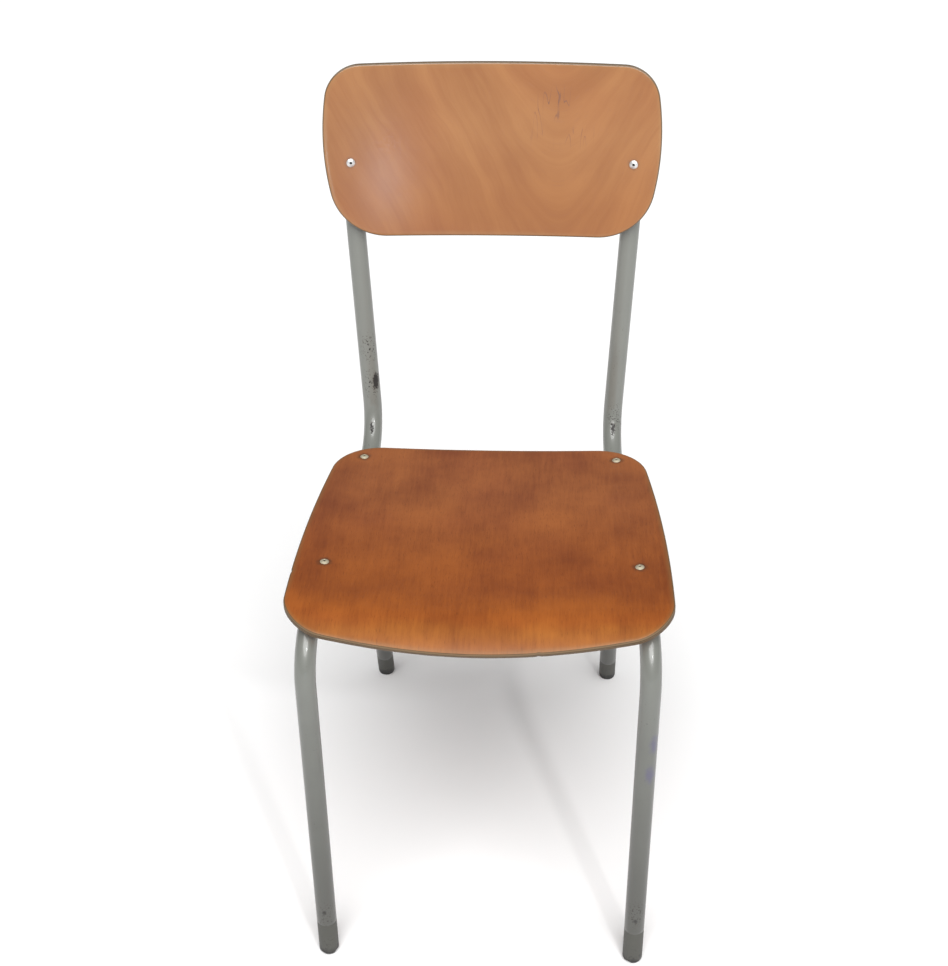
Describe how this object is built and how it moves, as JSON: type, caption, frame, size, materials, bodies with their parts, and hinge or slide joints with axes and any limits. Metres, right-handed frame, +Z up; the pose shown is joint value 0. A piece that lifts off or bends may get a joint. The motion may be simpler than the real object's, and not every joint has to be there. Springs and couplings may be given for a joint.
{
  "type": "stacking chair",
  "caption": "Stacking chair with a bent steel tube frame, raked rear legs, and a dished plywood seat and curved plywood backrest held by rivets.",
  "frame": {"origin": "on the floor, at the middle of the chair's width and depth", "axes": "+X to the right seen from the front, +Y to the rear, +Z up; the sitter faces -Y"},
  "size_m": [0.398, 0.53, 0.8753],
  "materials": {
    "grey_paint": "semi-gloss grey paint, chipped in places",
    "weld_paint": "grey paint over weld beads",
    "foot_plastic": "worn grey plastic",
    "cap_plastic": "grey plastic",
    "pin_steel": "dull dark steel",
    "seat_plywood": "worn red-brown varnish on plywood",
    "backrest_plywood": "satin orange-tan varnish on plywood",
    "rivet_aluminium": "dull aluminium",
    "mandrel_steel": "dull steel"
  },
  "bodies": {
    "root": {"left_side_tube": "grey_paint", "right_side_tube": "grey_paint", "left_rear_leg": "grey_paint", "right_rear_leg": "grey_paint", "front_cross_tube": "grey_paint", "rear_cross_tube": "grey_paint", "front_cross_welds": "weld_paint", "rear_cross_welds": "weld_paint", "rear_leg_welds": "weld_paint", "left_front_foot": "foot_plastic", "right_front_foot": "foot_plastic", "left_rear_foot": "foot_plastic", "right_rear_foot": "foot_plastic", "foot_pins": "pin_steel", "left_upright_cap": "cap_plastic", "right_upright_cap": "cap_plastic", "seat_shell": "seat_plywood", "seat_rivets": "rivet_aluminium", "seat_rivet_mandrels": "mandrel_steel", "backrest_shell": "backrest_plywood", "backrest_rivets": "rivet_aluminium", "backrest_rivet_mandrels": "mandrel_steel"}
  },
  "joints": []
}
